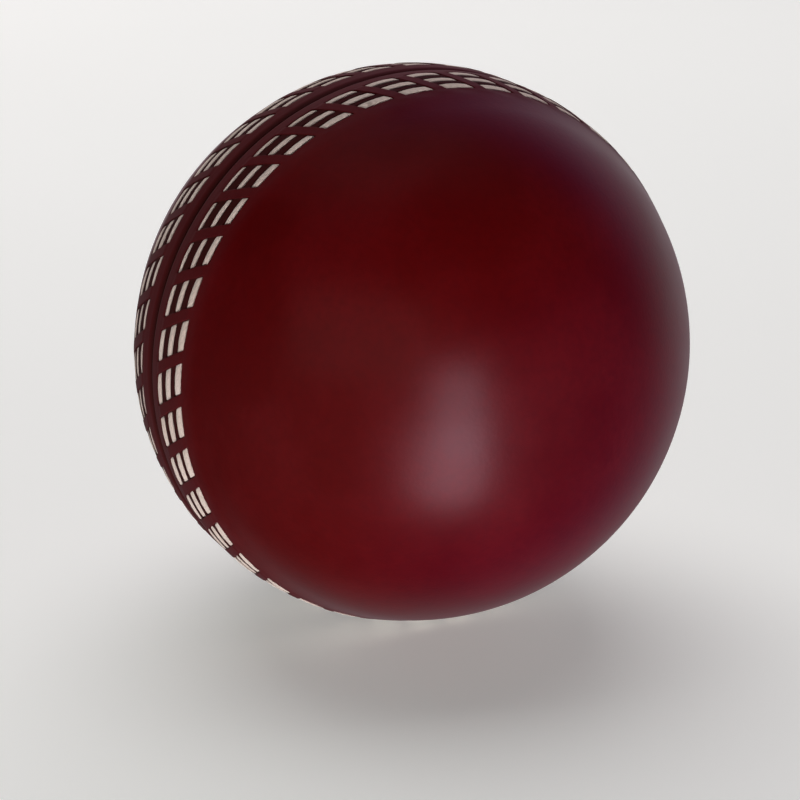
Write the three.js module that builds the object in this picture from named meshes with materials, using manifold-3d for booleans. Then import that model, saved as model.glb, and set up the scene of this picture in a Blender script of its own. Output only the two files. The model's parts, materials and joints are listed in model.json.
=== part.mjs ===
import * as THREE from 'three';
import { mergeGeometries, mergeVertices } from 'three/addons/utils/BufferGeometryUtils.js';
import Module from 'manifold-3d';

// A two-piece leather cricket ball, in millimetres. The origin is the ball's centre, +Y runs
// through the poles of the two leather cups, and the seam lies round the XZ plane.

// Cover
const BALL_RADIUS = 36.0;
const LEATHER_THICKNESS = 3.4;
const LIP_INNER_RADIUS = 33.5;
const BUTT_JOINT_HALF_GAP = 0.15;
const COVER_LATITUDES = [90, 80, 70, 60, 50, 40, 30];

// Raised seam, as heights above the ball's radius and distances round the cover from its middle:
// the lips dip to the joint between two raised bands, which carry the stitching
const BAND_RISE = 0.2;
const JOINT_DIP = 0.1;
const LIP_EDGE = 0.85;
const BAND_EDGE = 8.9;
const BAND_BLEND = 9.6;
const LIP_SHOULDER = 4.5;
const LIP_STEP = 10.6;

// Stitching: three rows on each side of the joint
const STITCHES = 40;
const ROW_SPACING = 2.25;
const ROW_ARCS = { inner: 3.25, middle: 3.25 + ROW_SPACING, outer: 3.25 + 2 * ROW_SPACING };
const FIRST_STITCH = THREE.MathUtils.degToRad(3.1);
const COLUMN_SLANT = THREE.MathUtils.degToRad(0.86);
const PITCH = 2 * Math.PI / STITCHES;

// Thread
const THREAD_HALF_WIDTH = 0.6;
const THREAD_HALF_THICKNESS = 0.2;
const THREAD_LIFT = 0.32;
const THREAD_CENTRE_RADIUS = BALL_RADIUS + BAND_RISE + THREAD_LIFT;
const THREAD_CLEARANCE = 0.08;
const DIVE_REACH = 1.0;
const DIVE_BOTTOM_RADIUS = 35.1;
const LEG_REACH = 0.75;
const CROSSING_RADII = { a: 32.98, b: 32.45 };
const CUTTER_TOP_RADIUS = 37.2;
const CUTTER_BOTTOM_RADIUS = 32.0;

// Core: a nucleus, wound and packed in turn with worsted yarn and cork
const NUCLEUS_RADIUS = 12.0;
const WINDING_THICKNESS = 1.95;
const CORK_THICKNESS = 3.33;
const CORK_LAYERS = 3;
const CORK_STRIPS = 4;
const LAYER_GAP = 0.3;
const TUCK_HOLE_RADIUS = 1.5;
const CORE_SEGMENTS = 16;
const CORE_LATITUDES = 8;

const SIDES = { front: -1, back: 1 };
const THREAD_CORNERS = 4;

const wasm = await Module();
wasm.setup();

const materials = {
  leather: new THREE.MeshStandardMaterial({ color: 0x4b080e, roughness: 0.38, metalness: 0 }),
  thread: new THREE.MeshStandardMaterial({ color: 0xcfc2b4, roughness: 0.75, metalness: 0 }),
  yarn: new THREE.MeshStandardMaterial({ color: 0xd8cdb8, roughness: 0.9, metalness: 0 }),
  cork: new THREE.MeshStandardMaterial({ color: 0xa67c52, roughness: 0.85, metalness: 0 }),
  nucleus: new THREE.MeshStandardMaterial({ color: 0x5d4636, roughness: 0.8, metalness: 0 }),
};

// ---- positions on the ball ------------------------------------------------------------------

// angle turns from +X towards +Z, and arc is the distance round the cover from the seam's middle
function ballPoint(angle, arc, radius) {
  const tilt = arc / BALL_RADIUS;
  const flat = radius * Math.cos(tilt);
  return new THREE.Vector3(flat * Math.cos(angle), radius * Math.sin(tilt), flat * Math.sin(angle));
}

// along follows the seam, across leads away from it towards +Y, and out is radial
function ballFrame(angle, arc) {
  const along = new THREE.Vector3(-Math.sin(angle), 0, Math.cos(angle));
  const out = ballPoint(angle, arc, 1);
  const across = new THREE.Vector3().crossVectors(along, out);
  return { along, across, out };
}

function stitchAngle(index, arc) {
  return FIRST_STITCH + index * PITCH + COLUMN_SLANT * arc;
}

function profilePoint(arc, radius) {
  const tilt = arc / BALL_RADIUS;
  return new THREE.Vector2(radius * Math.cos(tilt), radius * Math.sin(tilt));
}

// ---- solids ---------------------------------------------------------------------------------

function toSolid(geometry) {
  const bare = geometry.clone();
  bare.deleteAttribute('normal');
  bare.deleteAttribute('uv');
  const merged = mergeVertices(bare);
  const corners = merged.index.array;
  const kept = [];
  for (let i = 0; i < corners.length; i += 3) {
    const [a, b, c] = corners.slice(i, i + 3);
    if (a !== b && b !== c && c !== a) {
      kept.push(a, b, c);
    }
  }
  const mesh = new wasm.Mesh({
    numProp: 3,
    vertProperties: new Float32Array(merged.attributes.position.array),
    triVerts: new Uint32Array(kept),
  });
  return new wasm.Manifold(mesh);
}

function toGeometry(solid) {
  const mesh = solid.getMesh();
  const geometry = new THREE.BufferGeometry();
  geometry.setAttribute('position', new THREE.BufferAttribute(mesh.vertProperties, 3));
  geometry.setIndex(new THREE.BufferAttribute(mesh.triVerts, 1));
  geometry.computeVertexNormals();
  return geometry;
}

const part = new THREE.Group();

function addNode(name, geometry, material) {
  const mesh = new THREE.Mesh(geometry, material.clone());
  mesh.name = name;
  part.add(mesh);
}

// ---- core -----------------------------------------------------------------------------------

// a half circle from the -Y pole to the +Y pole
function coreArc(radius) {
  const points = [];
  for (let i = 0; i <= CORE_LATITUDES; i += 1) {
    const latitude = Math.PI * (i / CORE_LATITUDES - 0.5);
    const onAxis = i === 0 || i === CORE_LATITUDES;
    points.push(new THREE.Vector2(onAxis ? 0 : radius * Math.cos(latitude), radius * Math.sin(latitude)));
  }
  return points;
}

// the arc stops short of the +Y pole, at the small hole where the yarn's end is tucked in
function tuckedArc(radius) {
  const points = coreArc(radius);
  const pole = points.pop();
  const ring = points[points.length - 1];
  points.push(ring.clone().lerp(pole, 1 - TUCK_HOLE_RADIUS / ring.x));
  return points;
}

function coreBall(radius) {
  return new THREE.LatheGeometry(coreArc(radius), CORE_SEGMENTS);
}

function winding(innerRadius) {
  const outer = tuckedArc(innerRadius + WINDING_THICKNESS);
  const inner = tuckedArc(innerRadius).reverse();
  return new THREE.LatheGeometry([...outer, ...inner], CORE_SEGMENTS);
}

// one strip is a quarter of the layer's peel, from pole to pole, with a box past both poles to cut it
function corkStrip(innerRadius, turn) {
  const outerRadius = innerRadius + CORK_THICKNESS;
  const peel = toSolid(coreBall(outerRadius)).subtract(toSolid(coreBall(innerRadius)));
  const boxLength = 3 * outerRadius;
  const quarter = new THREE.BoxGeometry(outerRadius, boxLength, outerRadius);
  const inset = (outerRadius + LAYER_GAP) / 2;
  quarter.translate(inset, 0, inset);
  quarter.rotateY(turn);
  return toGeometry(peel.intersect(toSolid(quarter)));
}

function addCore() {
  addNode('nucleus', coreBall(NUCLEUS_RADIUS), materials.nucleus);
  let radius = NUCLEUS_RADIUS + LAYER_GAP;
  for (let layer = 1; layer <= CORK_LAYERS; layer += 1) {
    addNode(`yarn_winding_${layer}`, winding(radius), materials.yarn);
    radius += WINDING_THICKNESS + LAYER_GAP;
    for (let strip = 0; strip < CORK_STRIPS; strip += 1) {
      const turn = (strip + (layer % 2) / 2) * 2 * Math.PI / CORK_STRIPS;
      addNode(`cork_layer_${layer}_strip_${strip + 1}`, corkStrip(radius, turn), materials.cork);
    }
    radius += CORK_THICKNESS + LAYER_GAP;
  }
  addNode(`yarn_winding_${CORK_LAYERS + 1}`, winding(radius), materials.yarn);
}

// ---- thread ---------------------------------------------------------------------------------

// a closed loop of thread through its four-cornered sections
function threadLoop(sections) {
  const loop = new THREE.TorusGeometry(1, 0.1, THREAD_CORNERS, sections.length);
  const position = loop.attributes.position;
  for (let corner = 0; corner <= THREAD_CORNERS; corner += 1) {
    for (let step = 0; step <= sections.length; step += 1) {
      const { x, y, z } = sections[step % sections.length][corner % THREAD_CORNERS];
      position.setXYZ(corner * (sections.length + 1) + step, x, y, z);
    }
  }
  loop.computeVertexNormals();
  return loop;
}

function section(centre, half, halfUp) {
  const corners = [[1, 1], [-1, 1], [-1, -1], [1, -1]];
  return corners.map(([u, v]) => centre.clone().addScaledVector(half, u).addScaledVector(halfUp, v));
}

function combine(...terms) {
  const sum = new THREE.Vector3();
  for (const [vector, scale] of terms) {
    sum.addScaledVector(vector, scale);
  }
  return sum;
}

// the dive's slope, and the section's mitre where the dash bends into it
const DIVE_DROP = THREAD_CENTRE_RADIUS - DIVE_BOTTOM_RADIUS;
const DIVE_SLOPE = Math.atan2(DIVE_DROP, DIVE_REACH);
const DIVE_MITRE = Math.tan(DIVE_SLOPE / 2);

// a dash on the leather, then a dive under the narrow bridge of leather to the next dash
function runningThread(side, row) {
  const arc = side * ROW_ARCS[row];
  const halfDash = PITCH / 2 - DIVE_REACH / THREAD_CENTRE_RADIUS;
  const sections = [];
  for (let index = 0; index < STITCHES; index += 1) {
    for (const end of [-1, 1]) {
      const angle = stitchAngle(index, arc) + end * halfDash;
      const { along, across, out } = ballFrame(angle, arc);
      const half = combine([across, THREAD_HALF_WIDTH]);
      const halfUp = combine([out, THREAD_HALF_THICKNESS], [along, end * DIVE_MITRE * THREAD_HALF_THICKNESS]);
      sections.push(section(ballPoint(angle, arc, THREAD_CENTRE_RADIUS), half, halfUp));
    }
    const gap = stitchAngle(index + 0.5, arc);
    const { across, out } = ballFrame(gap, arc);
    const half = combine([across, THREAD_HALF_WIDTH]);
    const halfUp = combine([out, THREAD_HALF_THICKNESS / Math.cos(DIVE_SLOPE)]);
    sections.push(section(ballPoint(gap, arc, DIVE_BOTTOM_RADIUS), half, halfUp));
  }
  return threadLoop(sections);
}

// each dash is followed by a leg down through the slit, a crossing under both lips and a leg up
// on the other side; the two closing threads work against each other, as two needles do
function closingThread(firstSide, crossingRadius) {
  const reach = LEG_REACH / BALL_RADIUS;
  const thick = THREAD_HALF_THICKNESS;
  const sections = [];
  for (let index = 0; index < STITCHES; index += 1) {
    const roll = index % 2 === 0 ? 1 : -1;
    const side = firstSide * roll;
    const arc = side * ROW_ARCS.inner;
    for (const end of [-1, 1]) {
      const angle = stitchAngle(index + end / 2, arc) - end * reach;
      const { along, across, out } = ballFrame(angle, arc);
      const half = combine([across, roll * THREAD_HALF_WIDTH]);
      const halfUp = combine([out, roll * thick], [along, roll * end * thick]);
      sections.push(section(ballPoint(angle, arc, THREAD_CENTRE_RADIUS), half, halfUp));
    }
    for (const end of [1, -1]) {
      const endArc = end * arc;
      const angle = stitchAngle(index + 0.5, endArc) - end * reach;
      const { along, across, out } = ballFrame(angle, endArc);
      const half = combine([across, roll * end * thick], [out, -side * roll * thick]);
      sections.push(section(ballPoint(angle, endArc, crossingRadius), half, combine([along, roll * thick])));
    }
  }
  return threadLoop(sections);
}

function addThreads() {
  for (const [name, side] of Object.entries(SIDES)) {
    addNode(`${name}_outer_thread`, runningThread(side, 'outer'), materials.thread);
    addNode(`${name}_middle_thread`, runningThread(side, 'middle'), materials.thread);
  }
  addNode('closing_thread_a', closingThread(SIDES.front, CROSSING_RADII.a), materials.thread);
  addNode('closing_thread_b', closingThread(SIDES.back, CROSSING_RADII.b), materials.thread);
}

// ---- cover ----------------------------------------------------------------------------------

// from the outer pole down to the lip at the butt joint, and back up the inside to the inner pole
function cupProfile() {
  const bandRadius = BALL_RADIUS + BAND_RISE;
  const innerRadius = BALL_RADIUS - LEATHER_THICKNESS;
  const betweenRows = [ROW_ARCS.middle + ROW_SPACING / 2, ROW_ARCS.middle - ROW_SPACING / 2];
  const latitudeArcs = COVER_LATITUDES.map((latitude) => THREE.MathUtils.degToRad(latitude) * BALL_RADIUS);
  const points = [
    ...latitudeArcs.map((arc) => profilePoint(arc, BALL_RADIUS)),
    profilePoint(BAND_BLEND, BALL_RADIUS),
    profilePoint(BAND_EDGE, bandRadius),
    ...betweenRows.map((arc) => profilePoint(arc, bandRadius)),
    profilePoint(LIP_EDGE, bandRadius),
    profilePoint(BUTT_JOINT_HALF_GAP, BALL_RADIUS - JOINT_DIP),
    profilePoint(BUTT_JOINT_HALF_GAP, LIP_INNER_RADIUS),
    profilePoint(LIP_SHOULDER, LIP_INNER_RADIUS),
    profilePoint(BAND_BLEND, LIP_INNER_RADIUS),
    profilePoint(LIP_STEP, innerRadius),
    ...latitudeArcs.reverse().map((arc) => profilePoint(arc, innerRadius)),
  ];
  points[0].x = 0;
  points[points.length - 1].x = 0;
  return points;
}

// the awl's V-shaped path under the leather bridge between two dashes
function diveCutter() {
  const spread = (THREAD_HALF_THICKNESS + THREAD_CLEARANCE) / Math.cos(DIVE_SLOPE);
  const low = DIVE_BOTTOM_RADIUS - spread;
  const high = DIVE_BOTTOM_RADIUS + spread;
  const runPerRise = DIVE_REACH / DIVE_DROP;
  const lowReach = (CUTTER_TOP_RADIUS - low) * runPerRise;
  const highReach = (CUTTER_TOP_RADIUS - high) * runPerRise;
  const outline = new THREE.Shape([
    new THREE.Vector2(0, low),
    new THREE.Vector2(lowReach, CUTTER_TOP_RADIUS),
    new THREE.Vector2(highReach, CUTTER_TOP_RADIUS),
    new THREE.Vector2(0, high),
    new THREE.Vector2(-highReach, CUTTER_TOP_RADIUS),
    new THREE.Vector2(-lowReach, CUTTER_TOP_RADIUS),
  ]);
  const width = 2 * (THREAD_HALF_WIDTH + THREAD_CLEARANCE);
  const cutter = new THREE.ExtrudeGeometry(outline, { depth: width, bevelEnabled: false });
  cutter.translate(0, 0, -width / 2);
  return toMergeable(cutter);
}

// the slit that both closing threads pass through
function slitCutter() {
  const length = 2 * (LEG_REACH + THREAD_HALF_THICKNESS + THREAD_CLEARANCE);
  const width = 2 * (THREAD_HALF_WIDTH + THREAD_CLEARANCE);
  const cutter = new THREE.BoxGeometry(length, CUTTER_TOP_RADIUS - CUTTER_BOTTOM_RADIUS, width);
  cutter.translate(0, (CUTTER_TOP_RADIUS + CUTTER_BOTTOM_RADIUS) / 2, 0);
  return toMergeable(cutter);
}

function toMergeable(geometry) {
  return geometry.index ? geometry.toNonIndexed() : geometry;
}

// one cutter in every gap of a row, with x along the seam, y outwards and z across it
function rowCutters(cutter, arc) {
  const cutters = [];
  for (let index = 0; index < STITCHES; index += 1) {
    const { along, across, out } = ballFrame(stitchAngle(index + 0.5, arc), arc);
    cutters.push(cutter.clone().applyMatrix4(new THREE.Matrix4().makeBasis(along, out, across)));
  }
  return cutters;
}

function cup(side) {
  const points = cupProfile().map(({ x, y }) => new THREE.Vector2(x, side * y));
  if (side > 0) {
    points.reverse();
  }
  const firstEdge = stitchAngle(0.5, side * ROW_ARCS.middle);
  const blank = toSolid(new THREE.LatheGeometry(points, STITCHES, Math.PI / 2 - firstEdge));
  const awlHoles = mergeGeometries([
    ...rowCutters(diveCutter(), side * ROW_ARCS.outer),
    ...rowCutters(diveCutter(), side * ROW_ARCS.middle),
    ...rowCutters(slitCutter(), side * ROW_ARCS.inner),
  ]);
  return toGeometry(blank.subtract(toSolid(awlHoles)));
}

function addCover() {
  for (const [name, side] of Object.entries(SIDES)) {
    addNode(`${name}_leather_cup`, cup(side), materials.leather);
  }
}

addCore();
addCover();
addThreads();

export default part;
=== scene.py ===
"""Looks of the two-piece leather cricket ball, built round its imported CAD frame."""

import json
import math
import random

import bmesh
import bpy
import numpy as np
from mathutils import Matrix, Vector, noise


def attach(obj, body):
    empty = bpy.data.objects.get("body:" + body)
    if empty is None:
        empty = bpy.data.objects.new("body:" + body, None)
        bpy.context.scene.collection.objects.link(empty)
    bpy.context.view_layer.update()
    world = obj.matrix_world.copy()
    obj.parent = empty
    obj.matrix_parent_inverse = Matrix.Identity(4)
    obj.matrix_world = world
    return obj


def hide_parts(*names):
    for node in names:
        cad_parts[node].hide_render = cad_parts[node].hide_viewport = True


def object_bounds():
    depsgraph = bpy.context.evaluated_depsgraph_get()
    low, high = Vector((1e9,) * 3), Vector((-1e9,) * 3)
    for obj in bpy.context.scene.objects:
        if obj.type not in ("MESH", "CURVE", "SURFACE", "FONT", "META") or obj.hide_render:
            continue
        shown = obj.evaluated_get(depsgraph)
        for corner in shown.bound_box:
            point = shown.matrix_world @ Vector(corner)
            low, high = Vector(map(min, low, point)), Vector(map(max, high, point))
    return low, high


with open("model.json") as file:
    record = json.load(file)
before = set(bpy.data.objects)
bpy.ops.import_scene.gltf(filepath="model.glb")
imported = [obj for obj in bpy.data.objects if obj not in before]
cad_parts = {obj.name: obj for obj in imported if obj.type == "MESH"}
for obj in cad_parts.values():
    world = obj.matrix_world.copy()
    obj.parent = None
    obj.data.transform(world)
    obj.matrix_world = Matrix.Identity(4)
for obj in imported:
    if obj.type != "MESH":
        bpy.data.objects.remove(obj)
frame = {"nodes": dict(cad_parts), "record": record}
cad_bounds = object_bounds()
chance = random.Random(40)

MM = 0.001

# The ball, as in the CAD: +Y is the seam axis, and the seam lies round the XZ plane
BALL_RADIUS = 36.0 * MM
POLE_ARC = BALL_RADIUS * math.pi / 2
INNER_RADIUS = 32.6 * MM
LIP_INNER_RADIUS = 33.5 * MM
STITCHES = 40
PITCH = 2 * math.pi / STITCHES
FIRST_STITCH = math.radians(3.1)
COLUMN_SLANT = math.radians(0.86) / MM
ROW_ARCS = {"inner": 3.25 * MM, "middle": 5.5 * MM, "outer": 7.75 * MM}
SIDES = {"front": -1, "back": 1}

# Seam relief on the leather: a valley along the joint between raised bands, with a slot for each dash.
# A pair is the two arcs from the joint between which something changes, but SLOT_ENDS counts stitch pitches
# from a stitch's middle
LIP_GAP = 0.015 * MM
JOINT_HEIGHTS = {"front": -0.16 * MM, "back": -0.14 * MM}
LIP_RISE = 0.34 * MM
LIP_WIDTH = 1.15 * MM
BAND_RISE = 0.10 * MM
BAND_START = (0.9 * MM, 2.6 * MM)
BAND_EDGE = (7.9 * MM, 12.5 * MM)
BAR_BULGE = 0.08 * MM
BARS_START = (2.4 * MM, 3.2 * MM)
BARS_END = (7.8 * MM, 8.8 * MM)
SLOT_DEPTH = 0.28 * MM
SLOT_CLEARANCE = 0.04 * MM
SLOT_WALL = 0.12 * MM
SLOT_ENDS = (0.346, 0.368)
PUCKER_DEPTH = 0.04 * MM
PUCKER_ARC = 9.0 * MM
PUCKER_WIDTH = 0.5 * MM
UNEVENNESS = 0.02 * MM
UNEVEN_FROM = 0.5 * MM
LUMP_FREQUENCY = 3.0

# Wax and painted shade on the leather, from 0 to 1: in the slots, between a stitch's rows, and at the joint,
# where a wide soft part and a narrow sharp one each have their strength and the arcs between which they fade
SLOT_SHADE = 0.9
BETWEEN_ROWS_SHADE = 0.62
BETWEEN_ROWS_START = (3.2 * MM, 3.6 * MM)
BETWEEN_ROWS_END = (7.4 * MM, 7.8 * MM)
JOINT_SHADES = ((0.55, 0.2 * MM, 1.0 * MM), (0.45, 0.0, 0.1 * MM))

# Leather mesh: where columns lie in half a stitch pitch, close together at a slot's end walls, and the two
# arcs between which they even out
HALF_PITCH_COLUMNS = [0.0, 0.1, 0.2, 0.28, 0.335, 0.357, 0.368, 0.38, 0.392, 0.42, 0.46]
COLUMN_FRACTIONS = [-0.5] + [-f for f in reversed(HALF_PITCH_COLUMNS[1:])] + HALF_PITCH_COLUMNS
COLUMNS = STITCHES * len(COLUMN_FRACTIONS)
EVEN_OUT = (8.8 * MM, 10.4 * MM)

# Rings of the outer surface: the step between them, the arc where it ends, and what divides the columns
OUTER_STEPS = (
    (0.10 * MM, 1.2 * MM, 1),
    (0.20 * MM, 2.4 * MM, 1),
    (0.09 * MM, 8.8 * MM, 1),
    (0.25 * MM, 10.2 * MM, 1),
    (0.50 * MM, 11.0 * MM, 2),
    (0.80 * MM, 46.0 * MM, 4),
    (1.00 * MM, 52.0 * MM, 8),
    (1.20 * MM, POLE_ARC - 1.5 * MM, 16),
)

# Rings of the inner surface: under the thinner leather next to the joint, then under the rest
LIP_RINGS = ((LIP_GAP, 1), (0.8 * MM, 2), (3.0 * MM, 4), (9.6 * MM, 8))
CUP_RINGS = 16
CUP_RINGS_START = 10.6 * MM
CUP_RINGS_SPAN = POLE_ARC - 13 * MM
CUP_RING_DIVISOR = 16

# Thread
ROW_HALF_WIDTHS = {"inner": 0.55 * MM, "middle": 0.60 * MM, "outer": 0.63 * MM}
ROW_TIGHTENING = {"inner": 0.60, "middle": 0.42, "outer": 0.32}
TIGHT_PLACES = {"front": math.radians(141), "back": math.radians(186)}
TIGHT_SPREAD = math.radians(31)
TIGHT_GRIME = 0.10
THREAD_HALF_THICKNESS = 0.17 * MM
THREAD_HEIGHT = 0.08 * MM
THREAD_CROWN = 0.10 * MM
DASH_HALF_LENGTH = 2.06 * MM
TURN_RADIUS = 0.12 * MM
TURN_STEPS = 5
FLAT_STATIONS = (-0.75, -0.45, -0.15, 0.15, 0.45, 0.75)
STAIN_START = 0.05 * MM
RUNNING_DEPTH = -0.85 * MM
RUNNING_WIDTH = 0.7
CROSSING_DEPTHS = {"closing_thread_a": -3.05 * MM, "closing_thread_b": -3.6 * MM}
LEG_HALF_WIDTH = 0.2 * MM
SECTION_POINTS = 14
SECTION_POWER = 0.5
STRAND_AROUND = 3.4

# How one dash differs from the next: ranges for its place and width, then how it wavers along its length
DASH_SHIFTS = (-0.05 * MM, 0.05 * MM)
DASH_SWAYS = (-0.03 * MM, 0.03 * MM)
DASH_LIFTS = (-0.02 * MM, 0.03 * MM)
DASH_WIDTHS = (0.93, 1.04)
WANDER = 0.035 * MM
FRAY = 0.10
FRAY_FREQUENCY = 1.7
FRAY_OFFSET = 50

# Leather, in linear colour. POLISH_EDGE is the two distances across the seam's plane between which the dull
# leather of the seam becomes polished, which changes its roughness by POLISHING. DUST_RARITY is the share of
# places with no speck
LEATHER_DYE = (0.066, 0.0008, 0.0012)
LEATHER_FADED = (0.080, 0.0014, 0.0022)
LEATHER_DEEP = (0.042, 0.0008, 0.0014)
LEATHER_SEAM = (0.066, 0.0060, 0.0080)
# Leather darkened by wax and by painted shade in the seam's hollows
LEATHER_WAX_AND_SHADE = (0.011, 0.0032, 0.0016)
DUST = (0.34, 0.26, 0.20)
POLISH_EDGE = (8.0 * MM, 11.0 * MM)
SEAM_ROUGHNESS = 0.54
POLISHING = -0.22
CLOUD_ROUGHNESS = 0.05
WAX_ROUGHNESS = 0.3
POLISH_COAT = 0.12
DUST_SIZE = 0.022
DUST_RARITY = 0.93

# Thread, in linear colour, and how much its plies and fibres each add to its bumps
THREAD_WAXED = (0.63, 0.525, 0.45)
THREAD_PALE = (0.72, 0.61, 0.535)
THREAD_FIBRE = (0.46, 0.36, 0.30)
# Painted shade for the valleys between the plies
THREAD_VALLEY_SHADE = (0.36, 0.29, 0.24)
THREAD_SMUDGE = (0.16, 0.10, 0.08)
THREAD_DYED = (0.20, 0.045, 0.035)
PLY_HEIGHT = 0.7
FIBRE_HEIGHT = 0.5

# Core, in linear colour, with the height of the yarn's nap and the depth of the cork's pits in their bumps
YARN_WOOL = (0.60, 0.52, 0.38)
YARN_PALE = (0.72, 0.65, 0.51)
YARN_SHADOW = (0.36, 0.29, 0.2)
YARN_NAP = (0.8, 0.74, 0.62)
CORK_DARK = (0.36, 0.19, 0.085)
CORK_LIGHT = (0.50, 0.30, 0.15)
CORK_PIT = (0.09, 0.045, 0.022)
BINDER = (0.075, 0.045, 0.03)
CRUMB = (0.30, 0.17, 0.085)
BINDER_SHADOW = (0.04, 0.03, 0.025)
NAP_HEIGHT = 0.3
PIT_DEPTH = 0.8

# View: the ball is seen from in front and a little above, past its seam. VIEW_AIM is how far to the right of
# the ball's centre and how far above it the camera aims, and both are negative: it aims to the left and below
VIEW_AZIMUTH = math.radians(-25.3)
VIEW_ELEVATION = math.radians(17.3)
VIEW_DISTANCE = 0.331
VIEW_AIM = (-1.60 * MM, -7.36 * MM)
LENS = 114.1
SENSOR_WIDTH = 36.0
CLIP = (0.02, 50.0)

# Stage, in linear colour
FLOOR_HALF_SIZE = 6.0
FLOOR_TONES = ((0.78, 0.79, 0.77), (0.82, 0.83, 0.81))
FLOOR_GLOWS = ((0.288, 0.300, 0.288), (0.60, 0.60, 0.59))
FLOOR_GLOW_EDGE = (0.3, 1.5)
BACKDROP_SEEN = (0.62, 0.62, 0.61)
BACKDROP_DARK = (0.006, 0.006, 0.006)
BACKDROP_PALE = (0.46, 0.385, 0.415)
BLACK = (0.0, 0.0, 0.0)
LOW_GLOW = (0.07, 0.0, 0.10)
HIGH_GLOW = (0.10, 0.01, 0.12)
ROSE = (1.0, 0.76, 0.90)

# Where the world is bright: the way there from the ball, in the camera's right, up and back, and the cosines
# between which it brightens. The backdrop also goes from GROUND_SHARE of its brightness to all of it between
# the two cosines to straight up in SKYWARD
BEHIND = ((0.1, 0.0, -1.0), 0.32, 0.95)
LOW_RIGHT = ((0.7, -0.6, 0.1), 0.2, 0.95)
ABOVE = ((0.5, 0.85, 0.0), 0.45, 0.85)
FAR_SIDE = ((0.0, 0.0, -1.0), 0.0, 0.4)
SKYWARD = (-0.75, -0.05)
GROUND_SHARE = 0.5

# Lights: the way to each from the ball, in the camera's right, up and back, then distance, size, power and
# colour. The first three only give gloss, and the last three give none
LIGHTS = {
    "key_softbox": ((0.28, -0.60, 0.75), 0.5, (0.17, 0.52), 0.80, ROSE),
    "low_key": ((0.24, -0.77, 0.70), 0.5, (0.26, 0.26), 0.26, ROSE),
    "side_glow": ((-0.36, 0.04, 0.92), 0.5, (0.5, 0.3), 0.10, (1.0, 0.85, 0.82)),
    "front_fill": ((0.12, -0.5, 0.8), 0.8, (0.6, 0.3), 8.0, (1.0, 0.96, 0.97)),
    "rear_fill": ((-0.75, 0.3, -0.65), 0.9, (0.6, 0.6), 1.8, (1.0, 0.90, 0.88)),
    "overhead": ((-0.08, 0.9, -0.1), 0.9, (1.0, 1.0), 6.4, (1.0, 0.97, 0.97)),
}
GLOSS_LIGHTS = ("key_softbox", "low_key", "side_glow")


# ---- places on the ball ---------------------------------------------------------------------

def smooth(value, low, high):
    """0 up to low, 1 from high, and a smooth step between them."""
    t = np.clip((value - low) / (high - low), 0.0, 1.0)
    return t * t * (3 - 2 * t)


def ball_frame(angle, arc):
    """Unit vectors along the seam, across it towards +Y, and outwards."""
    tilt = arc / BALL_RADIUS
    along = Vector((-math.sin(angle), 0.0, math.cos(angle)))
    flat = math.cos(tilt)
    out = Vector((flat * math.cos(angle), math.sin(tilt), flat * math.sin(angle)))
    return along, along.cross(out), out


def stitch_angle(index, arc):
    """The angle of a stitch's middle, which changes with the arc because the columns slant."""
    return FIRST_STITCH + index * PITCH + COLUMN_SLANT * arc


def new_piece(name, vertices, faces, material):
    mesh = bpy.data.meshes.new(name)
    mesh.from_pydata(vertices, [], faces)
    mesh.update()
    piece = bpy.data.objects.new(name, mesh)
    bpy.context.scene.collection.objects.link(piece)
    work = bmesh.new()
    work.from_mesh(mesh)
    bmesh.ops.recalc_face_normals(work, faces=work.faces)
    work.to_mesh(mesh)
    work.free()
    mesh.shade_smooth()
    mesh.materials.append(material)
    return piece


# ---- shader helpers -------------------------------------------------------------------------

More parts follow.
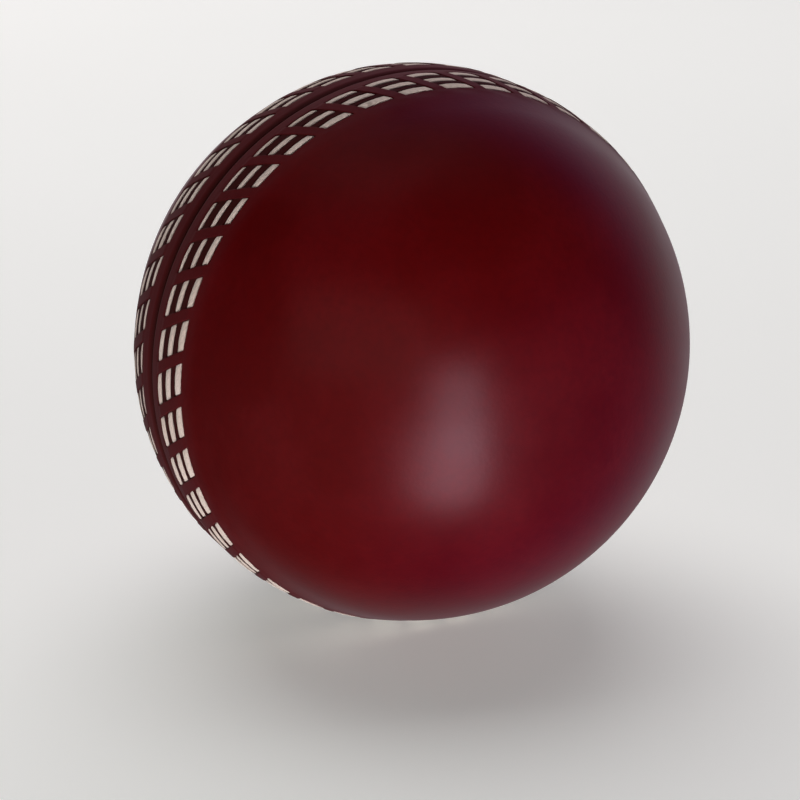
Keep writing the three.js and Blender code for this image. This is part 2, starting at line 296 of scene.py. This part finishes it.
class Nodes:
    """A small builder for node trees."""

    def __init__(self, tree):
        self.tree = tree

    def node(self, kind, settings=None, **inputs):
        made = self.tree.nodes.new(kind)
        for key, value in (settings or {}).items():
            setattr(made, key, value)
        for key, value in inputs.items():
            self.put(made.inputs[key.replace("_", " ")], value)
        return made

    def put(self, socket, value):
        """Link the socket to another, or set its own value."""
        if isinstance(value, bpy.types.NodeSocket):
            self.tree.links.new(value, socket)
        else:
            socket.default_value = value

    def math(self, operation, *values):
        made = self.tree.nodes.new("ShaderNodeMath")
        made.operation = operation
        for socket, value in zip(made.inputs, values):
            self.put(socket, value)
        return made.outputs[0]

    def vector_math(self, operation, *values):
        """The number that a vector operation gives."""
        made = self.tree.nodes.new("ShaderNodeVectorMath")
        made.operation = operation
        for socket, value in zip(made.inputs, values):
            self.put(socket, value)
        return made.outputs["Value"]

    def inverse(self, value):
        return self.math("SUBTRACT", 1.0, value)

    def ramp(self, value, low, high):
        """0 up to low, 1 from high, and a smooth step between them."""
        made = self.node("ShaderNodeMapRange", {"interpolation_type": "SMOOTHSTEP"}, Value=value)
        made.inputs["From Min"].default_value = low
        made.inputs["From Max"].default_value = high
        return made.outputs["Result"]

    def mix(self, factor, first, second, blend="MIX"):
        made = self.tree.nodes.new("ShaderNodeMix")
        made.data_type = "RGBA"
        made.blend_type = blend
        self.put(made.inputs["Factor"], factor)
        for socket, value in zip([s for s in made.inputs if s.type == "RGBA"], (first, second)):
            self.put(socket, value if isinstance(value, bpy.types.NodeSocket) else (*value, 1.0))
        return next(s for s in made.outputs if s.type == "RGBA")

    def tint(self, base, colour, mask, amount):
        """The base with a colour mixed in where the mask is 1, by the amount."""
        return self.mix(self.math("MULTIPLY", mask, amount), base, colour)

    def noise(self, vector, scale, detail=2.0, roughness=0.5):
        settings = {"Scale": scale, "Detail": detail, "Roughness": roughness}
        return self.node("ShaderNodeTexNoise", Vector=vector, **settings).outputs["Fac"]

    def diagonal_waves(self, vector, scale, distortion, detail=2.0):
        settings = {"Scale": scale, "Distortion": distortion, "Detail": detail}
        direction = {"bands_direction": "DIAGONAL"}
        return self.node("ShaderNodeTexWave", direction, Vector=vector, **settings).outputs["Fac"]

    def facing(self, vector, direction):
        """How far a vector points in a direction, from -1 to 1."""
        return self.vector_math("DOT_PRODUCT", vector, direction.normalized())


class Shader(Nodes):
    """A node material with one Principled surface."""

    def __init__(self, name):
        self.material = bpy.data.materials.new(name)
        self.material.use_nodes = True
        super().__init__(self.material.node_tree)
        self.surface = self.tree.nodes["Principled BSDF"]

    def place(self):
        return self.node("ShaderNodeTexCoord").outputs["Object"]

    def attribute(self, name):
        return self.node("ShaderNodeAttribute", {"attribute_name": name}).outputs["Fac"]

    def channel(self, colour, index):
        return self.node("ShaderNodeSeparateColor", Color=colour).outputs[index]

    def bump(self, height, distance, strength=1.0, below=None):
        made = self.node("ShaderNodeBump", Height=height, Distance=distance, Strength=strength)
        if below is not None:
            self.put(made.inputs["Normal"], below)
        return made.outputs["Normal"]

    def set(self, **inputs):
        for key, value in inputs.items():
            self.put(self.surface.inputs[key.replace("_", " ")], value)


# ---- materials ------------------------------------------------------------------------------

def leather_material():
    """Dyed and polished leather: fine grain, cloudy dye, dark waxed hollows in the seam with painted shade, a
    few dust specks.
    """
    s = Shader("leather")
    place = s.place()
    recess = s.attribute("recess")
    across = s.math("ABSOLUTE", s.node("ShaderNodeSeparateXYZ", Vector=place).outputs["Y"])
    polished = s.ramp(across, *POLISH_EDGE)
    clouds = s.ramp(s.noise(place, scale=85.0, detail=3.0), low=0.35, high=0.7)
    mottle = s.ramp(s.noise(place, scale=1100.0, detail=3.0, roughness=0.6), low=0.3, high=0.75)
    dye = s.mix(clouds, LEATHER_DYE, LEATHER_FADED)
    dye = s.tint(dye, LEATHER_DEEP, mottle, amount=0.35)
    dye = s.tint(dye, LEATHER_SEAM, s.inverse(polished), amount=0.4)
    # Painted shade and wax: the leather darkens in the slots, between the rows and at the joint
    dye = s.mix(recess, dye, LEATHER_WAX_AND_SHADE)

    cells = s.node("ShaderNodeTexVoronoi", Vector=place, Scale=210.0)
    spot = s.math("LESS_THAN", cells.outputs["Distance"], DUST_SIZE)
    rare = s.math("GREATER_THAN", s.channel(cells.outputs["Color"], 0), DUST_RARITY)
    dye = s.tint(dye, DUST, s.math("MULTIPLY", spot, rare), amount=0.55)

    pores = {"Scale": 2300.0, "Smoothness": 0.6}
    grain = s.node("ShaderNodeTexVoronoi", {"feature": "SMOOTH_F1"}, Vector=place, **pores)
    creases = s.noise(place, scale=480.0, detail=5.0, roughness=0.65)
    coarse = s.bump(creases, distance=0.012 * MM)
    fine = s.bump(grain.outputs["Distance"], distance=0.010 * MM, strength=0.6, below=coarse)

    cloudy = s.math("MULTIPLY", clouds, CLOUD_ROUGHNESS)
    waxy = s.math("MULTIPLY", recess, WAX_ROUGHNESS)
    worn = s.math("MULTIPLY_ADD", polished, POLISHING, SEAM_ROUGHNESS)
    roughness = s.math("ADD", s.math("ADD", cloudy, waxy), worn)
    s.set(Base_Color=dye, Roughness=roughness, Normal=fine, Specular_IOR_Level=0.38)
    s.set(Coat_Weight=s.math("MULTIPLY", polished, POLISH_COAT), Coat_Roughness=0.22)
    return s.material


def thread_material():
    """Waxed linen: twisted plies with painted shade between them, fibres, smudges, and dye rubbed off the
    leather at the stitch ends.
    """
    s = Shader("thread")
    place = s.place()
    strand = s.node("ShaderNodeUVMap", {"uv_map": "strand"}).outputs["UV"]
    plies = s.diagonal_waves(strand, scale=0.75, distortion=0.5)
    fibres = s.noise(strand, scale=9.0, detail=4.0, roughness=0.7)
    patches = s.ramp(s.noise(place, scale=160.0), low=0.3, high=0.7)
    smudge = s.ramp(s.noise(place, scale=420.0, detail=3.0, roughness=0.6), low=0.62, high=0.74)
    wax_and_shade = s.mix(patches, THREAD_WAXED, THREAD_PALE)
    wax_and_shade = s.tint(wax_and_shade, THREAD_FIBRE, s.ramp(fibres, low=0.35, high=0.8), amount=0.35)
    # Painted shade: darker in the ply valleys, where the bump is lowest
    wax_and_shade = s.tint(wax_and_shade, THREAD_VALLEY_SHADE, s.inverse(s.ramp(plies, low=0.0, high=0.35)), amount=0.25)
    wax_and_shade = s.tint(wax_and_shade, THREAD_SMUDGE, smudge, amount=0.5)
    wax_and_shade = s.tint(wax_and_shade, THREAD_DYED, s.attribute("stain"), amount=0.65)
    height = s.math("ADD", s.math("MULTIPLY", plies, PLY_HEIGHT), s.math("MULTIPLY", fibres, FIBRE_HEIGHT))
    s.set(Base_Color=wax_and_shade, Roughness=0.72, Normal=s.bump(height, distance=0.05 * MM), Sheen_Weight=0.12)
    return s.material


def yarn_material():
    """Undyed worsted: close-laid strands with a soft nap."""
    s = Shader("yarn")
    place = s.place()
    strands = s.diagonal_waves(place, scale=260.0, distortion=3.0, detail=3.0)
    nap = s.noise(place, scale=2600.0, detail=4.0, roughness=0.7)
    wool = s.mix(s.ramp(s.noise(place, scale=120.0), low=0.3, high=0.7), YARN_WOOL, YARN_PALE)
    wool = s.tint(wool, YARN_SHADOW, s.inverse(strands), amount=0.5)
    wool = s.tint(wool, YARN_NAP, nap, amount=0.25)
    height = s.math("ADD", strands, s.math("MULTIPLY", nap, NAP_HEIGHT))
    s.set(Base_Color=wool, Roughness=0.92, Normal=s.bump(height, distance=0.25 * MM), Sheen_Weight=0.4)
    return s.material


def cork_material():
    """Natural cork: pressed granules with dark pits."""
    s = Shader("cork")
    place = s.place()
    granules = s.node("ShaderNodeTexVoronoi", Vector=place, Scale=420.0)
    pits = s.ramp(s.noise(place, scale=700.0, detail=4.0, roughness=0.7), low=0.62, high=0.72)
    cork = s.mix(s.channel(granules.outputs["Color"], 0), CORK_DARK, CORK_LIGHT)
    cork = s.mix(pits, cork, CORK_PIT)
    height = s.math("SUBTRACT", granules.outputs["Distance"], s.math("MULTIPLY", pits, PIT_DEPTH))
    s.set(Base_Color=cork, Roughness=0.86, Normal=s.bump(height, distance=0.2 * MM))
    return s.material


def nucleus_material():
    """Moulded cork and rubber: dark binder with cork crumbs."""
    s = Shader("nucleus")
    place = s.place()
    crumbs = s.node("ShaderNodeTexVoronoi", Vector=place, Scale=800.0)
    body = s.mix(s.ramp(s.channel(crumbs.outputs["Color"], 1), low=0.45, high=0.75), BINDER, CRUMB)
    body = s.tint(body, BINDER_SHADOW, s.noise(place, scale=90.0), amount=0.3)
    s.set(Base_Color=body, Roughness=0.7, Normal=s.bump(crumbs.outputs["Distance"], distance=0.1 * MM))
    return s.material


def floor_material():
    """Matt pale grey that glows faintly, and more so far off, so that it runs into the backdrop."""
    s = Shader("studio_floor")
    place = s.place()
    tone = s.ramp(s.noise(place, scale=3.0), low=0.2, high=0.8)
    away = s.ramp(s.vector_math("LENGTH", place), *FLOOR_GLOW_EDGE)
    s.set(Base_Color=s.mix(tone, *FLOOR_TONES), Roughness=0.9, Specular_IOR_Level=0.0)
    s.set(Emission_Color=s.mix(away, *FLOOR_GLOWS), Emission_Strength=1.0)
    return s.material


# ---- leather cups ---------------------------------------------------------------------------

def tightness(side_name, angle):
    """How hard the thread is pulled: each side has one part of the seam where it is tighter."""
    away = (angle - TIGHT_PLACES[side_name] + math.pi) % (2 * math.pi) - math.pi
    return np.exp(-((away / TIGHT_SPREAD) ** 2))


def row_half_width(side_name, row, angle):
    return ROW_HALF_WIDTHS[row] * (1 - ROW_TIGHTENING[row] * tightness(side_name, angle))


def seam_relief(side_name, angle, fraction, arc):
    """Height above the ball's radius, and how much its waxed hollows and painted shade darken the leather,
    from 0 to 1.

    A fraction counts stitch pitches from the middle of the nearest stitch.
    """
    lip = JOINT_HEIGHTS[side_name] + LIP_RISE * math.sin(math.pi / 2 * min(arc / LIP_WIDTH, 1.0))
    band = (lip + BAND_RISE * smooth(arc, *BAND_START)) * (1 - smooth(arc, *BAND_EDGE))
    in_stitch = 1 - smooth(np.abs(fraction), *SLOT_ENDS)
    barred = smooth(arc, *BARS_START) * (1 - smooth(arc, *BARS_END))
    bar = BAR_BULGE * barred * (1 - in_stitch)
    between_rows = smooth(arc, *BETWEEN_ROWS_START) * (1 - smooth(arc, *BETWEEN_ROWS_END))
    in_slot = np.zeros_like(angle)
    for row, row_arc in ROW_ARCS.items():
        edge = row_half_width(side_name, row, angle) + SLOT_CLEARANCE
        in_slot = np.maximum(in_slot, 1 - smooth(np.abs(arc - row_arc), edge, edge + SLOT_WALL))
    in_slot = in_slot * in_stitch
    beside_rows = np.exp(-(((arc - PUCKER_ARC) / PUCKER_WIDTH) ** 2))
    pucker = -PUCKER_DEPTH * beside_rows * np.cos(2 * math.pi * fraction)
    height = band + bar + pucker - SLOT_DEPTH * in_slot
    # Painted shade with wax in the sunk slots and between the rows
    wax_and_shade = np.maximum(SLOT_SHADE * in_slot, BETWEEN_ROWS_SHADE * between_rows * in_stitch)
    # Painted shade with wax along the joint's valley
    joint = sum(shade * (1 - smooth(arc, start, end)) for shade, start, end in JOINT_SHADES)
    return height, np.clip(wax_and_shade + joint, 0, 1)


def outer_arcs():
    """Arcs from the lip towards the pole, with the number of columns in each ring."""
    arc = LIP_GAP
    rings = [(arc, COLUMNS)]
    for step, end, divisor in OUTER_STEPS:
        while arc < end:
            arc += step
            rings.append((arc, COLUMNS // divisor))
    return rings


def inner_arcs():
    """The same for the inner surface, with the radius of each ring."""
    rings = [(arc, COLUMNS // divisor, LIP_INNER_RADIUS) for arc, divisor in LIP_RINGS]
    for i in range(CUP_RINGS):
        arc = CUP_RINGS_START + i * CUP_RINGS_SPAN / CUP_RINGS
        rings.append((arc, COLUMNS // CUP_RING_DIVISOR, INNER_RADIUS))
    return rings


def ring_angles(side, arc, count):
    """Column angles and stitch fractions: slanted with the stitches, and evened out away from the seam."""
    fractions = np.array(COLUMN_FRACTIONS)
    even = np.linspace(-0.5, 0.5, len(fractions), endpoint=False)
    blend = smooth(arc, *EVEN_OUT)
    spread = fractions * (1 - blend) + even * blend
    index = np.repeat(np.arange(STITCHES), len(fractions))
    fraction = np.tile(spread, STITCHES)
    slant = COLUMN_SLANT * side * min(arc, EVEN_OUT[1])
    angle = FIRST_STITCH + (index + fraction) * PITCH + slant
    step = len(angle) // count
    return angle[::step], fraction[::step]


def bridge(first, second):
    """Faces between two rings of vertex numbers, the second with as many vertices or half as many."""
    faces = []
    total = len(first)
    if len(second) == total:
        for i in range(total):
            j = (i + 1) % total
            faces.append((first[i], first[j], second[j], second[i]))
        return faces
    for i in range(len(second)):
        a, b, c = first[2 * i], first[2 * i + 1], first[(2 * i + 2) % total]
        d, e = second[i], second[(i + 1) % len(second)]
        faces += [(a, b, d), (b, e, d), (b, c, e)]
    return faces


def leather_cup(side_name, material):
    """One closed shell: an outer and an inner surface from the lip to the pole, joined at the lip."""
    side = SIDES[side_name]
    vertices, recesses, faces = [], [], []

    def add_ring(arc, count, inner_radius=None):
        angle, fraction = ring_angles(side, arc, count)
        height, recess = seam_relief(side_name, angle, fraction, arc)
        tilt = side * arc / BALL_RADIUS
        start = len(vertices)
        for a, h, dark in zip(angle, height, recess):
            out = Vector((math.cos(tilt) * math.cos(a), math.sin(tilt), math.cos(tilt) * math.sin(a)))
            lumps = UNEVENNESS * noise.noise(out * LUMP_FREQUENCY) * (arc > UNEVEN_FROM)
            radius = BALL_RADIUS + h + lumps if inner_radius is None else inner_radius
            vertices.append(out * radius)
            recesses.append(dark if inner_radius is None else 1.0)
        return list(range(start, start + len(angle)))

    def close_pole(ring, radius):
        vertices.append(Vector((0.0, side * radius, 0.0)))
        recesses.append(0.0)
        pole = len(vertices) - 1
        faces.extend((ring[i], ring[(i + 1) % len(ring)], pole) for i in range(len(ring)))

    outer = [add_ring(arc, count) for arc, count in outer_arcs()]
    inner = [add_ring(arc, count, radius) for arc, count, radius in inner_arcs()]
    for rings in (outer, inner, [outer[0], inner[0]]):
        for first, second in zip(rings, rings[1:]):
            faces.extend(bridge(first, second))
    close_pole(outer[-1], BALL_RADIUS)
    close_pole(inner[-1], INNER_RADIUS)
    piece = new_piece(f"{side_name}_leather_shell", vertices, faces, material)
    # The recess attribute carries the painted shade and wax; the inner surface gets all of it
    shade = piece.data.attributes.new("recess", "FLOAT", "POINT")
    shade.data.foreach_set("value", recesses)
    return piece


# ---- thread ---------------------------------------------------------------------------------

def section_ring(centre, half_width, half_thick):
    """A flattened loop of points: nearly flat above and below, with round edges."""
    points = []
    for i in range(SECTION_POINTS):
        turn = 2 * math.pi * (i + 0.5) / SECTION_POINTS
        c, s = math.cos(turn), math.sin(turn)
        wide = math.copysign(abs(c) ** SECTION_POWER, c)
        thick = math.copysign(abs(s) ** SECTION_POWER, s)
        points.append(centre + half_width * wide + half_thick * thick)
    return points


def dash_stations(flat):
    """Offset, drop and tilt of each section: out of the leather, along the flat and down again."""
    turns = [math.radians(90 * i / TURN_STEPS) for i in range(TURN_STEPS + 1)]
    down = [(flat + TURN_RADIUS * math.sin(t), -TURN_RADIUS * (1 - math.cos(t)), t) for t in turns]
    up = [(-offset, drop, -tilt) for offset, drop, tilt in reversed(down)]
    return up + [(flat * f, 0.0, 0.0) for f in FLAT_STATIONS] + down


def dash_sections(index, arc, row, roll):
    """A dash on the leather, from where it comes up to where it turns down, slanted with its column."""
    flat = DASH_HALF_LENGTH - TURN_RADIUS - THREAD_HALF_THICKNESS
    shift = chance.uniform(*DASH_SHIFTS)
    sway = chance.uniform(*DASH_SWAYS)
    lift = chance.uniform(*DASH_LIFTS)
    side_name = "back" if arc > 0 else "front"
    centre_angle = stitch_angle(index, arc)
    width = row_half_width(side_name, row, centre_angle) * chance.uniform(*DASH_WIDTHS)
    grime = TIGHT_GRIME * tightness(side_name, centre_angle)
    sections = []
    for offset, drop, tilt in dash_stations(flat):
        angle = centre_angle + (offset + shift) / BALL_RADIUS
        along, across, out = ball_frame(angle, arc)
        crown = THREAD_CROWN * (1 - (offset / DASH_HALF_LENGTH) ** 2)
        radius = BALL_RADIUS + THREAD_HEIGHT + lift + drop + crown
        wander = sway + WANDER * noise.noise(Vector((offset / MM, index, arc / MM)))
        frayed = noise.noise(Vector((offset / MM * FRAY_FREQUENCY, index + FRAY_OFFSET, arc / MM)))
        skew = along * (COLUMN_SLANT * BALL_RADIUS)
        half = (across + skew) * (roll * width * (1 + FRAY * frayed))
        thick = (out * math.cos(tilt) + along * math.sin(tilt)) * (roll * THREAD_HALF_THICKNESS)
        stain = max(grime, smooth(abs(offset), flat + STAIN_START, flat + TURN_RADIUS))
        sections.append((section_ring(out * radius + across * wander, half, thick), stain, offset))
    return sections


def hidden_section(angle, arc, depth, half, thick):
    """A section under the leather, wholly stained."""
    _, _, out = ball_frame(angle, arc)
    return section_ring(out * (BALL_RADIUS + depth), half, thick), 1.0, 0.0


def thread_piece(name, sections, material):
    """A closed loop of thread through its sections.

    Its strand UV is the millimetres along a dash, and a wave around the thread that closes with no jump.
    """
    vertices = [point for ring, _, _ in sections for point in ring]
    faces = []
    count = len(sections)
    for i in range(count):
        for j in range(SECTION_POINTS):
            a = i * SECTION_POINTS + j
            b = i * SECTION_POINTS + (j + 1) % SECTION_POINTS
            c = (i + 1) % count * SECTION_POINTS + (j + 1) % SECTION_POINTS
            d = (i + 1) % count * SECTION_POINTS + j
            faces.append((a, b, c, d))
    piece = new_piece(name, vertices, faces, material)
    mesh = piece.data
    stain = mesh.attributes.new("stain", "FLOAT", "POINT")
    stain.data.foreach_set("value", [shade for _, shade, _ in sections for _ in range(SECTION_POINTS)])
    strand = mesh.uv_layers.new(name="strand")
    for loop in mesh.loops:
        station, around = divmod(loop.vertex_index, SECTION_POINTS)
        offset = sections[station][2]
        height = STRAND_AROUND * math.sin(2 * math.pi * around / SECTION_POINTS)
        strand.data[loop.index].uv = (offset / MM, height)
    return piece


def running_thread(side_name, row, material):
    """Over on each dash, down, under the bar of leather and up to the next dash."""
    arc = SIDES[side_name] * ROW_ARCS[row]
    reach = (DASH_HALF_LENGTH - THREAD_HALF_THICKNESS) / BALL_RADIUS
    sections = []
    for index in range(STITCHES):
        sections += dash_sections(index, arc, row, 1)
        for step, end in ((index, 1), (index + 1, -1)):
            angle = stitch_angle(step, arc) + end * reach
            along, across, out = ball_frame(angle, arc)
            half = across * ROW_HALF_WIDTHS[row] * RUNNING_WIDTH
            thick = (out + along * end) * THREAD_HALF_THICKNESS
            sections.append(hidden_section(angle, arc, RUNNING_DEPTH, half, thick))
    return thread_piece(f"{side_name}_{row}_stitches", sections, material)


def closing_thread(node, first_side, material):
    """Dashes on alternate sides of the joint, with a crossing under both lips between them."""
    reach = (DASH_HALF_LENGTH - THREAD_HALF_THICKNESS) / BALL_RADIUS
    sections = []
    for index in range(STITCHES):
        roll = 1 if index % 2 == 0 else -1
        side = first_side * roll
        arc = side * ROW_ARCS["inner"]
        sections += dash_sections(index, arc, "inner", roll)
        for step, end in ((index, 1), (index + 1, -1)):
            angle = stitch_angle(step, end * arc) + end * reach
            along, across, out = ball_frame(angle, end * arc)
            half = (across * end - out * side) * (roll * LEG_HALF_WIDTH)
            thick = along * (roll * LEG_HALF_WIDTH)
            sections.append(hidden_section(angle, end * arc, CROSSING_DEPTHS[node], half, thick))
    return thread_piece(f"{node}_stitches", sections, material)


# ---- assembly -------------------------------------------------------------------------------

def settle(piece, node):
    """The piece stands for a CAD node, whose solid it hides; all ride on the one body."""
    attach(piece, "root")
    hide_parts(node)


def build_cover():
    leather = leather_material()
    for side_name in SIDES:
        settle(leather_cup(side_name, leather), f"{side_name}_leather_cup")


def build_stitching():
    thread = thread_material()
    for side_name in SIDES:
        for row in ("outer", "middle"):
            settle(running_thread(side_name, row, thread), f"{side_name}_{row}_thread")
    for node, first_side in (("closing_thread_a", SIDES["front"]), ("closing_thread_b", SIDES["back"])):
        settle(closing_thread(node, first_side, thread), node)


def finish_core():
    """The core's CAD solids keep their shape and get their materials."""
    looks = {"yarn": yarn_material(), "cork": cork_material(), "nucleus": nucleus_material()}
    slots = {row["node"]: row["material_slot"] for row in frame["record"]["subparts"]}
    for name, node in frame["nodes"].items():
        if slots[name] in looks:
            for holder in node.material_slots:
                holder.material = looks[slots[name]]


# ---- stage ----------------------------------------------------------------------------------

def view_axes():
    """The camera's right, up and back directions."""
    a, e = VIEW_AZIMUTH, VIEW_ELEVATION
    back = Vector((math.sin(a) * math.cos(e), -math.cos(a) * math.cos(e), math.sin(e)))
    right = Vector((math.cos(a), math.sin(a), 0.0))
    return right, back.cross(right), back


def view_direction(way):
    """A direction, or a place from the ball's centre, given in the camera's right, up and back."""
    return sum((axis * part for axis, part in zip(view_axes(), way)), Vector())


def add_camera():
    data = bpy.data.cameras.new("camera")
    data.lens = LENS
    data.sensor_width = SENSOR_WIDTH
    data.clip_start, data.clip_end = CLIP
    camera = bpy.data.objects.new("camera", data)
    bpy.context.scene.collection.objects.link(camera)
    camera.location = view_direction((0.0, 0.0, VIEW_DISTANCE))
    aim = view_direction((*VIEW_AIM, 0.0))
    camera.rotation_euler = (aim - camera.location).to_track_quat("-Z", "Y").to_euler()
    bpy.context.scene.camera = camera


def add_floor():
    """A floor that casts no shadow, so that the lights below it reach the ball, and isn't reflected in it."""
    size = FLOOR_HALF_SIZE
    low = cad_bounds[0].z
    corners = [(-size, -size, low), (size, -size, low), (size, size, low), (-size, size, low)]
    floor = new_piece("studio_floor", corners, [(0, 1, 2, 3)], floor_material())
    floor.visible_shadow = False
    floor.visible_glossy = False


def add_light(name, towards, distance, size, power, colour):
    """An area light that faces the ball; towards is in the camera's right, up and back."""
    data = bpy.data.lights.new(name, "AREA")
    data.shape = "RECTANGLE"
    data.size, data.size_y = size
    data.energy = power
    data.color = colour
    light = bpy.data.objects.new(name, data)
    bpy.context.scene.collection.objects.link(light)
    way = view_direction(towards).normalized()
    light.location = way * distance
    light.rotation_euler = way.to_track_quat("Z", "Y").to_euler()
    light.visible_camera = False
    light.visible_glossy = name in GLOSS_LIGHTS
    light.visible_diffuse = name not in GLOSS_LIGHTS


def add_world():
    """What the ball reflects: a pale backdrop behind it, and faint violet glows from low on the right and
    from above. The camera itself sees one plain pale tone.
    """
    world = bpy.data.worlds.new("studio")
    bpy.context.scene.world = world
    world.use_nodes = True
    nodes = Nodes(world.node_tree)
    look = nodes.node("ShaderNodeTexCoord").outputs["Generated"]

    def towards(way, low, high):
        return nodes.ramp(nodes.facing(look, view_direction(way)), low, high)

    skyward = nodes.ramp(nodes.facing(look, Vector((0, 0, 1))), *SKYWARD)
    share = nodes.math("MULTIPLY_ADD", skyward, 1 - GROUND_SHARE, GROUND_SHARE)
    backdrop = nodes.mix(nodes.math("MULTIPLY", towards(*BEHIND), share), BACKDROP_DARK, BACKDROP_PALE)
    violet = nodes.mix(towards(*LOW_RIGHT), BLACK, LOW_GLOW)
    violet = nodes.mix(nodes.math("MULTIPLY", towards(*ABOVE), towards(*FAR_SIDE)), violet, HIGH_GLOW)
    reflected = nodes.mix(1.0, backdrop, violet, "ADD")
    seen = nodes.node("ShaderNodeLightPath").outputs["Is Camera Ray"]
    shade = world.node_tree.nodes["Background"]
    nodes.put(shade.inputs["Color"], nodes.mix(seen, reflected, BACKDROP_SEEN))


def build_stage():
    add_camera()
    add_floor()
    add_world()
    for name, settings in LIGHTS.items():
        add_light(name, *settings)
    bpy.context.scene.view_settings.view_transform = "Standard"


build_cover()
build_stitching()
finish_core()
build_stage()
